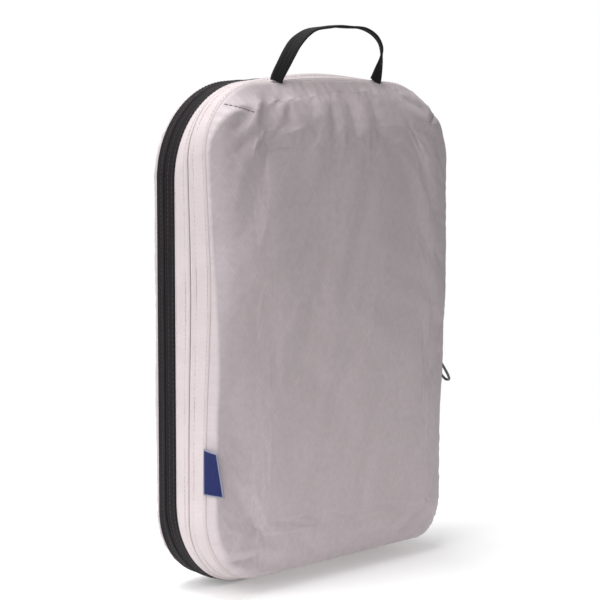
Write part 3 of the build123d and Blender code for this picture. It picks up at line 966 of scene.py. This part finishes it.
def coil(name, zip_y, side, material, keep):
    """A ridged nylon coil along the inner face of one tape's edge, a tooth every two samples."""
    line = TOOTHED
    angle = np.linspace(0, TAU, 9)[:-1]
    tooth = 1 - 0.22 * (np.arange(len(line.run)) % TEETH)
    centre_y = zip_y + side * (COIL_W / 2 + 0.35 * MM)
    ys = centre_y + 0.5 * COIL_W * np.cos(angle)
    out = -(TAPE + 0.3 * MM + COIL_D / 2) + 0.5 * COIL_D * np.sin(angle)[None] * tooth[:, None]
    points = place(line, ys, out)
    middle = points.mean(1, keepdims=True)
    narrowed = 0.55 + 0.45 * tooth[:, None]
    points[:, :, 1] = middle[:, :, 1] + (points[:, :, 1] - middle[:, :, 1]) * narrowed
    uv = pairs(line.run, angle * MM)
    return tube(name, *part_of_loop(points, uv, keep, line), material, closed=False)


def past_right_stops(line):
    """Samples round the cube from above the two stops on the right wall to below them."""
    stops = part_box("compression_zip_front_stops")
    index = np.arange(len(line.run))
    height = line.spots[:, 1]
    hit = index[(line.normals[:, 0] > 0.99) & (height > stops[0].z) & (height < stops[1].z)]
    return np.concatenate([index[hit.max() + 1 :], index[: hit.min()]])


COIL_FINISH = {  # material, slot and samples
    "light": (M_COIL_G, "coil_grey", past_right_stops(TOOTHED)),
    "black": (M_COIL_B, "coil_black", round_to_hinge(TOOTHED)),
}
for colour, half, _, side, body in HALVES:
    middle, _, node, _ = ZIPS[colour]
    material, slot, keep = COIL_FINISH[colour]
    belongs(coil(f"{colour}_coil_{half}", middle, side, material, keep), body, f"{node}_{half}_coil")


# ---------------- seam bindings and the gusset, inside
BINDING_DEPTH = 5.2 * MM
BINDING_SECTION = [  # from the seam's line along its depth, and outward, mm
    (0.0, 0.0),
    (0.9, 0.0),
    (1.1, -0.5),
    (0.9, -2.4),
    (1.25, -2.9),
    (1.3, -4.6),
    (0.65, -5.2),
    (0.0, -4.7),
    (-0.05, -2.9),
    (0.15, -2.4),
]


def binding(name, y, side, seed):
    """The bound edge that stands inward from a seam: two plies of cloth wrapped in a narrow tape."""
    line = FINE
    ys = np.array([y + side * (0.15 + v[0]) * MM for v in BINDING_SECTION])
    ripple = 0.35 * MM * wave_noise(line.run, seed, [0.012, 0.02, 0.05], line.length)[:, None]
    inward = np.array([v[1] for v in BINDING_SECTION]) * MM
    out = -3.2 * MM + inward[None] + ripple * (inward / -BINDING_DEPTH)[None]
    uv = pairs(line.run, np.linspace(0, 0.012, len(ys)))
    return tube(name, place(line, ys, out), uv, M_BIND)


for seam, y, side, body, seed in (
    ("front", SEAM_F, -1, "front_shell", 71),
    ("middle", SEAM_M, 1, "middle_band", 73),
    ("rear", SEAM_R, 1, "lid", 79),
):
    belongs(binding(f"{seam}_seam_binding", y, side, seed), body, f"{seam}_binding")

PLEAT = 14 * MM
gusset_ys = np.linspace(SEAM_F + 0.6 * MM, SEAM_M - 0.6 * MM, 29)
fold_in = 1 - np.abs(2 * (gusset_ys - gusset_ys[0]) / (gusset_ys[-1] - gusset_ys[0]) - 1)
gusset_out = -1.5 * MM - PLEAT * (fold_in**0.9)[None] - 1.3 * MM * np.sin(np.pi * fold_in)[None]
gusset_wave = wave_noise(FINE.run, 83, [0.03, 0.055, 0.09], FINE.length)[:, None]
gusset_out = gusset_out + gusset_wave * 0.8 * MM * fold_in[None]
gusset = strip("expansion_gusset_cloth", FINE, gusset_ys, gusset_out, CLOTH, M_GUSSET)
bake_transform(gusset)
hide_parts("expansion_gusset")

# ---------------- seam stitching
THREADS = {"light": M_THREAD_L, "black": M_THREAD_B}
ROWS = [  # place, zip, depth, height above the cloth, and body
    ("front_tape", "light", SEAM_F + 1.9 * MM, 0.05 * MM, "front_shell"),
    ("light_coil_front", "light", COMP_Y - 4.4 * MM, -0.05 * MM, "front_shell"),
    ("light_coil_rear", "light", COMP_Y + 4.4 * MM, -0.05 * MM, "middle_band"),
    ("middle_light", "light", SEAM_M - 1.7 * MM, 0.05 * MM, "middle_band"),
    ("middle_black", "black", SEAM_M + 1.7 * MM, 0.0, "middle_band"),
    ("black_coil_front", "black", MAIN_Y - 4.3 * MM, -0.05 * MM, "middle_band"),
    ("black_coil_rear", "black", MAIN_Y + 4.3 * MM, -0.05 * MM, "lid"),
    ("rear_black", "black", SEAM_R - 1.7 * MM, 0.0, "lid"),
]
for place_name, colour, y, above, body in ROWS:
    path, normal = line_path(FINE, y, above)
    whole = colour == "light"  # the black rows stop at the hinge
    if not whole:
        path, normal = path[around], normal[around]
    row = stitch_row(f"stitch_{place_name}", path, normal, THREADS[colour], closed=whole)
    belongs(row, body)


# ---------------- carrying handle
HANDLE_ARCH = [  # X, height above the root, and twist in degrees along the strap
    (-55.0, -2.8, -14),
    (-54.0, 0.0, -18),
    (-47.8, 8.5, -28),
    (-42.0, 16.5, -42),
    (-35.3, 24.3, -58),
    (-27.4, 29.6, -75),
    (-16.0, 33.8, -88),
    (0.0, 36.2, -90),
    (17.0, 36.6, -90),
    (34.0, 35.6, -85),
    (48.0, 31.8, -72),
    (55.3, 25.5, -56),
    (57.3, 18.5, -45),
    (56.0, 10.0, -24),
    (51.5, 0.0, 5),
    (49.6, -2.8, 8),
]
STRAP_WIDTH, STRAP_THICK = 10.0 * MM, 1.8 * MM
HANDLE_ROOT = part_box("handle_strap")[0].z


def spline(values, per_span):
    """A Catmull-Rom curve through rows of values."""
    v = np.vstack([2 * values[0] - values[1], values, 2 * values[-1] - values[-2]])
    t = np.linspace(0, 1, per_span, endpoint=False)[:, None]
    spans = []
    for p0, p1, p2, p3 in zip(v[:-3], v[1:-2], v[2:-1], v[3:]):
        square, cube = 2 * p0 - 5 * p1 + 4 * p2 - p3, 3 * p1 - p0 - 3 * p2 + p3
        spans.append(0.5 * (2 * p1 + (p2 - p0) * t + square * t**2 + cube * t**3))
    return np.vstack([*spans, values[-1:]])


def strap_section():
    """Rounded edges, a flat middle and two shallow woven ridges, as (across, through) pairs."""
    edge = np.linspace(-math.pi / 2, math.pi / 2, 7)
    half = STRAP_THICK / 2
    flat = np.linspace(STRAP_WIDTH / 2 - half, -STRAP_WIDTH / 2 + half, 15)[1:-1]
    ridge = half + 0.09 * MM * np.cos(TAU * flat / (2.6 * MM))
    right = np.stack([STRAP_WIDTH / 2 - half + half * np.cos(edge), half * np.sin(edge)], 1)
    top = np.stack([flat, ridge], 1)
    return np.vstack([right, top, -right, -top])


curve = spline(np.array(HANDLE_ARCH, float), 12)
centre = np.stack([curve[:, 0] * MM, np.full(len(curve), SEAM_F), HANDLE_ROOT + curve[:, 1] * MM], 1)
tangent = np.gradient(centre, axis=0)
tangent /= np.linalg.norm(tangent, axis=1, keepdims=True)
across = np.stack([tangent[:, 2], np.zeros(len(centre)), -tangent[:, 0]], 1)
twist = np.radians(curve[:, 2])[:, None]
side = across * np.cos(twist) + np.array([[0, 1, 0]]) * np.sin(twist)
through = np.cross(tangent, side)
run = run_length(centre)
section = strap_section()
flutter = 0.25 * MM * wave_noise(run, 91, [0.03, 0.06])[:, None, None]
wide, thick = section[None, :, 0:1], section[None, :, 1:2]
points = centre[:, None] + side[:, None] * wide + through[:, None] * (thick + flutter)
uv = pairs(run, section[:, 0])
strap = tube("handle_webbing", points, uv, M_WEB, closed=False)
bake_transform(strap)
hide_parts("handle_strap")

# ---------------- woven side label
LABEL_LOW, LABEL_HIGH = (corner.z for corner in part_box("side_label"))
LABEL_RUN = 15.5 * MM


def label_points():
    """A small flag of woven tape sewn into the front seam. It stands off the wall at its top."""
    rows, cols = 25, 13
    t = np.linspace(0, 1, rows)[:, None]
    u = np.linspace(0, 1, cols)[None]
    z = LABEL_LOW + (LABEL_HIGH - LABEL_LOW) * t
    base = place(FINE, [SEAM_F], np.zeros((1, 1)))[:, 0]
    wall = base[FINE.normals[:, 0] < -0.9]
    order = np.argsort(wall[:, 2])
    x0 = np.interp(z[:, 0], wall[order, 2], wall[order, 0])[:, None]
    width = LABEL_RUN * (1.10 - 0.14 * t)
    flare = np.radians(-9 + 19 * t)
    bow = 0.6 * MM * np.sin(np.pi * u)
    x = x0 - 0.9 * MM - width * u * np.sin(flare) - bow
    y = SEAM_F + 1.0 * MM - (width + 1.0 * MM) * u * np.cos(flare)
    sag = -1.2 * MM * u * (0.4 + 0.6 * t)
    skin = np.stack(np.broadcast_arrays(x, y, z + sag), -1)
    outward = np.array([-0.35 * MM, 0, 0])
    both = np.concatenate([skin + outward, (skin - outward)[:, ::-1]], 1)
    return both, pairs(t[:, 0], np.concatenate([u[0], u[0, ::-1]]))


label = tube("side_label_woven", *label_points(), M_LABEL, closed=False)
belongs(label, "front_shell", "side_label")

# ---------------- compression pull
WIRE_RADIUS = 1.05 * MM


def wire_loop():
    """The pull's wire: a long loop through the bail, a little wider at its round tip."""
    low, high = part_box("compression_pull")
    thin = 0.9 * MM
    top = Vector((low.x + thin, COMP_Y, high.z - thin))
    tip = Vector((high.x - thin, COMP_Y, low.z + thin))
    down = np.array((tip - top).normalized())
    run = (tip - top).length + 0.8 * MM
    turn = np.linspace(0, TAU, 73)[:-1]
    along = run / 2 * (1 - np.sign(np.cos(turn)) * np.abs(np.cos(turn)) ** 0.62)
    across = (2.6 + 1.6 * along / run) * MM * np.sign(np.sin(turn)) * np.abs(np.sin(turn)) ** 0.7
    middle = np.array(top) + along[:, None] * down + across[:, None] * np.array([0, 1, 0])
    ahead = np.roll(middle, -1, 0) - np.roll(middle, 1, 0)
    ahead /= np.linalg.norm(ahead, axis=1, keepdims=True)
    out = np.cross(down, [0, 1, 0])
    aside = np.cross(ahead, out)
    ring = np.linspace(0, TAU, 13)[:-1]
    section = np.cos(ring)[None, :, None] * aside[:, None] + np.sin(ring)[None, :, None] * out
    return middle[:, None] + WIRE_RADIUS * section, pairs(np.linspace(0, 0.08, len(turn)), ring * MM)


pull = tube("compression_pull_wire", *wire_loop(), M_WIRE_DARK_REFLECTION)
belongs(pull, "compression_pull", "compression_pull")

# ---------------- finishes for the CAD pieces that stay
for node, material in {
    "compression_slider": M_METAL,
    "main_slider_upper": M_METAL_D,
    "main_pull_upper": M_METAL_D,
    "main_slider_lower": M_METAL_D,
    "main_pull_lower": M_METAL_D,
    "compression_zip_front_stops": M_METAL,
    "compression_zip_rear_stops": M_METAL,
    "main_zip_front_stops": M_METAL_D,
    "main_zip_rear_stops": M_METAL_D,
    "handle_anchors": M_WEB,
}.items():
    for material_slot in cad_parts[node].material_slots:
        material_slot.material = material

# ---------------- camera, lights and floor
scene = bpy.context.scene
camera = bpy.data.objects.new("camera", bpy.data.cameras.new("camera"))
scene.collection.objects.link(camera)
camera.data.lens = 122.24
camera.data.sensor_width = 36.0
camera.location = (-1.08797, -1.01764, 0.35523)
aim = Vector((-0.01438, -0.01018, 0.20127))
camera.rotation_euler = (aim - camera.location).to_track_quat("-Z", "Y").to_euler()
scene.camera = camera
scene.view_settings.view_transform = "Standard"
scene.view_settings.look = "None"

FLOOR_GLOW = 0.22
WORLD_FILL = 0.28
floor_mesh = bpy.data.meshes.new("floor")
floor_mesh.from_pydata([(-6, -6, 0), (6, -6, 0), (6, 6, 0), (-6, 6, 0)], [], [(0, 1, 2, 3)])
floor = bpy.data.objects.new("floor", floor_mesh)
scene.collection.objects.link(floor)
floor.location.z = -0.0002
g = Graph("floor_white")
mottle = g.ramp(g.noise(g.coords(), 3.0, 2.0), [(0.3, (0.86, 0.86, 0.86)), (0.7, (0.88, 0.88, 0.88))])
g.set(Base_Color=mottle, Roughness=0.9, Specular_IOR_Level=0.1)
g.set(Emission_Color=(1.0, 1.0, 1.0), Emission_Strength=FLOOR_GLOW)
gx, gy, _ = g.split(g.coords())
away = g.math("SQRT", g.math("ADD", g.math("MULTIPLY", gx, gx), g.math("MULTIPLY", gy, gy)))
clear = g.nodes.new("ShaderNodeBsdfTransparent")
fade = g.nodes.new("ShaderNodeMixShader")
g.value(fade.inputs[0], g.span(away, 0.30, 0.75))
g.links.new(g.shader.outputs[0], fade.inputs[1])
g.links.new(clear.outputs[0], fade.inputs[2])
g.links.new(fade.outputs[0], g.out.inputs[0])
floor_mesh.materials.append(g.mat)

world = bpy.data.worlds.new("studio")
scene.world = world
world.use_nodes = True
wn = world.node_tree
wn.nodes.clear()
w_out = wn.nodes.new("ShaderNodeOutputWorld")
w_fill, w_seen = (wn.nodes.new("ShaderNodeBackground") for _ in range(2))
for backdrop, strength in ((w_fill, WORLD_FILL), (w_seen, 1.0)):
    backdrop.inputs[0].default_value = (1.0, 1.0, 1.0, 1)
    backdrop.inputs[1].default_value = strength
w_path = wn.nodes.new("ShaderNodeLightPath")
w_mix = wn.nodes.new("ShaderNodeMixShader")
wn.links.new(w_path.outputs["Is Camera Ray"], w_mix.inputs[0])
wn.links.new(w_fill.outputs[0], w_mix.inputs[1])
wn.links.new(w_seen.outputs[0], w_mix.inputs[2])
wn.links.new(w_mix.outputs[0], w_out.inputs[0])


def area_light(name, place_at, size, power):
    """A soft rectangular light that points at the cube."""
    light = bpy.data.lights.new(name, "AREA")
    light.shape = "RECTANGLE"
    light.size, light.size_y = size
    light.energy = power
    obj = bpy.data.objects.new(name, light)
    scene.collection.objects.link(obj)
    obj.location = place_at
    obj.rotation_euler = (LIGHT_AIM - Vector(place_at)).to_track_quat("-Z", "Y").to_euler()


LIGHT_AIM = Vector((0, 0, 0.18))
LIGHTS = [  # name, place, width and height, and power
    ("key_left", (-1.9, 0.25, 0.95), (1.3, 1.3), 18),
    ("key_front_left", (-1.7, -1.3, 0.8), (1.2, 1.2), 6.5),
    ("top_left", (-1.1, -0.2, 1.7), (1.2, 1.2), 14),
    ("back_soft", (0.9, 2.2, 1.1), (1.4, 1.2), 12),
    ("overhead", (-0.2, 0.35, 2.0), (1.2, 1.2), 25),
]
for light in LIGHTS:
    area_light(*light)
